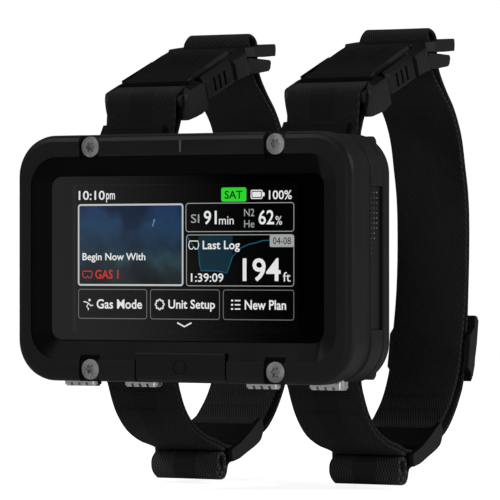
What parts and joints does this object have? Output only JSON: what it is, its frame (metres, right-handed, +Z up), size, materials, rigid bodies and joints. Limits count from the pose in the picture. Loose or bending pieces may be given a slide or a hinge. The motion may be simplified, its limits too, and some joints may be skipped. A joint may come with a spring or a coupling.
{
  "type": "dive computer",
  "caption": "Wrist-worn dive computer: wide recessed screen in a rounded black case, metal push buttons on the lower edge, side-release webbing straps.",
  "frame": {"origin": "centre of the flat rear face of the case", "axes": "+Z up the screen, +Y out of the rear face towards the wearer's arm, +X to the right of the screen; the screen faces -Y"},
  "size_m": [0.1194, 0.1132, 0.1468],
  "materials": {
    "case_black": "matte, fine bead-blasted coating",
    "case_dark": "matte moulded",
    "badge": "satin",
    "mark_grey": "matte",
    "screw_steel": "satin",
    "lens_glass": "polished",
    "seal_rubber": "matte",
    "display": "glossy screen",
    "diffuser": "satin",
    "steel_sheet": "brushed",
    "seal_red": "matte",
    "grille": "matte",
    "cover_plastic": "fine texture",
    "pin_steel": "polished",
    "pcb": "satin solder mask",
    "tray_plastic": "matte",
    "battery_wrap": "shrink wrap",
    "ceramic_part": "matte",
    "flex": "polyimide film",
    "contact_gold": "plated",
    "contact_plate": "satin",
    "button_steel": "polished steel",
    "clip_steel": "spring steel",
    "webbing": "twill weave",
    "tab_rubber": "matte",
    "buckle_plastic": "matte moulded acetal",
    "arm_plastic": "matte moulded acetal"
  },
  "bodies": {
    "case": {"front_bezel": "case_black", "badge_plate": "badge", "centre_mark": "mark_grey", "bezel_screws": "screw_steel", "lens": "lens_glass", "lens_gasket": "seal_rubber", "display_panel": "display", "backlight": "diffuser", "display_frame": "steel_sheet", "mid_case": "case_dark", "case_seals": "seal_red", "sensor_grille": "grille", "side_plate": "grille", "rear_case": "case_dark", "rear_cover": "cover_plastic", "cover_seal": "seal_red", "rear_screws": "screw_steel", "strap_pins": "pin_steel", "main_board": "pcb", "board_screws": "pin_steel", "shield_cans": "steel_sheet", "battery_tray": "tray_plastic", "battery_pack": "battery_wrap", "vibration_motor": "pin_steel", "buzzer": "tray_plastic", "pressure_sensor": "pin_steel", "gnss_antenna": "ceramic_part", "display_flex": "flex", "charge_contacts": "contact_gold", "contact_block": "contact_plate", "contact_pins": "contact_gold", "switch_pads": "tray_plastic", "switch_strip": "pcb", "button_springs": "pin_steel", "upper_webbing": "webbing", "lower_webbing": "webbing", "back_webbing_l": "webbing", "back_webbing_r": "webbing", "strap_tabs": "tab_rubber", "buckle_female_l": "buckle_plastic", "buckle_female_r": "buckle_plastic", "adjuster_l": "buckle_plastic", "adjuster_r": "buckle_plastic"},
    "push_button_1": {"button_1": "button_steel", "button_clip_1": "clip_steel"},
    "push_button_2": {"button_2": "button_steel", "button_clip_2": "clip_steel"},
    "push_button_3": {"button_3": "button_steel", "button_clip_3": "clip_steel"},
    "push_button_4": {"button_4": "button_steel", "button_clip_4": "clip_steel"},
    "male_l": {"buckle_male_l": "buckle_plastic"},
    "arm_l1": {"release_arm_l1": "arm_plastic"},
    "arm_l2": {"release_arm_l2": "arm_plastic"},
    "strap_keeper_l": {"keeper_l": "buckle_plastic"},
    "male_r": {"buckle_male_r": "buckle_plastic"},
    "arm_r1": {"release_arm_r1": "arm_plastic"},
    "arm_r2": {"release_arm_r2": "arm_plastic"},
    "strap_keeper_r": {"keeper_r": "buckle_plastic"}
  },
  "joints": [
    {"name": "button_1_press", "type": "slide", "parent": "case", "child": "push_button_1", "axis": [0, 0, 1], "range_m": [0, 0.0008], "stiffness_N_per_m": 900, "deforming": ["button_springs"]},
    {"name": "button_2_press", "type": "slide", "parent": "case", "child": "push_button_2", "axis": [0, 0, 1], "range_m": [0, 0.0008], "stiffness_N_per_m": 900, "deforming": ["button_springs"]},
    {"name": "button_3_press", "type": "slide", "parent": "case", "child": "push_button_3", "axis": [0, 0, 1], "range_m": [0, 0.0008], "stiffness_N_per_m": 900, "deforming": ["button_springs"]},
    {"name": "button_4_press", "type": "slide", "parent": "case", "child": "push_button_4", "axis": [0, 0, 1], "range_m": [0, 0.0008], "stiffness_N_per_m": 900, "deforming": ["button_springs"]},
    {"name": "buckle_l_release", "type": "slide", "parent": "case", "child": "male_l", "axis": [0, 0.9397, 0.342], "range_m": [0, 0.028], "deforming": ["back_webbing_l"]},
    {"name": "arm_l1_squeeze", "type": "hinge", "parent": "male_l", "child": "arm_l1", "pos_m": [-0.0434, 0.04397, 0.06341], "axis": [0, -0.342, 0.9397], "range_deg": [0, 5.5], "stiffness_Nm_per_rad": 0.6},
    {"name": "arm_l2_squeeze", "type": "hinge", "parent": "male_l", "child": "arm_l2", "pos_m": [-0.0226, 0.04397, 0.06341], "axis": [0, -0.342, 0.9397], "range_deg": [-5.5, 0], "stiffness_Nm_per_rad": 0.6},
    {"name": "keeper_l_slide", "type": "slide", "parent": "case", "child": "strap_keeper_l", "axis": [0, 0.1, 0.995], "range_m": [-0.002, 0.008]},
    {"name": "buckle_r_release", "type": "slide", "parent": "case", "child": "male_r", "axis": [0, 0.9397, 0.342], "range_m": [0, 0.028], "deforming": ["back_webbing_r"]},
    {"name": "arm_r1_squeeze", "type": "hinge", "parent": "male_r", "child": "arm_r1", "pos_m": [0.0226, 0.04397, 0.06341], "axis": [0, -0.342, 0.9397], "range_deg": [0, 5.5], "stiffness_Nm_per_rad": 0.6},
    {"name": "arm_r2_squeeze", "type": "hinge", "parent": "male_r", "child": "arm_r2", "pos_m": [0.0434, 0.04397, 0.06341], "axis": [0, -0.342, 0.9397], "range_deg": [-5.5, 0], "stiffness_Nm_per_rad": 0.6},
    {"name": "keeper_r_slide", "type": "slide", "parent": "case", "child": "strap_keeper_r", "axis": [0, 0.1, 0.995], "range_m": [-0.002, 0.008]}
  ],
  "couplings": [
    {"joint": "arm_l2_squeeze", "follows": "arm_l1_squeeze", "ratio": -1},
    {"joint": "arm_r2_squeeze", "follows": "arm_r1_squeeze", "ratio": -1}
  ]
}
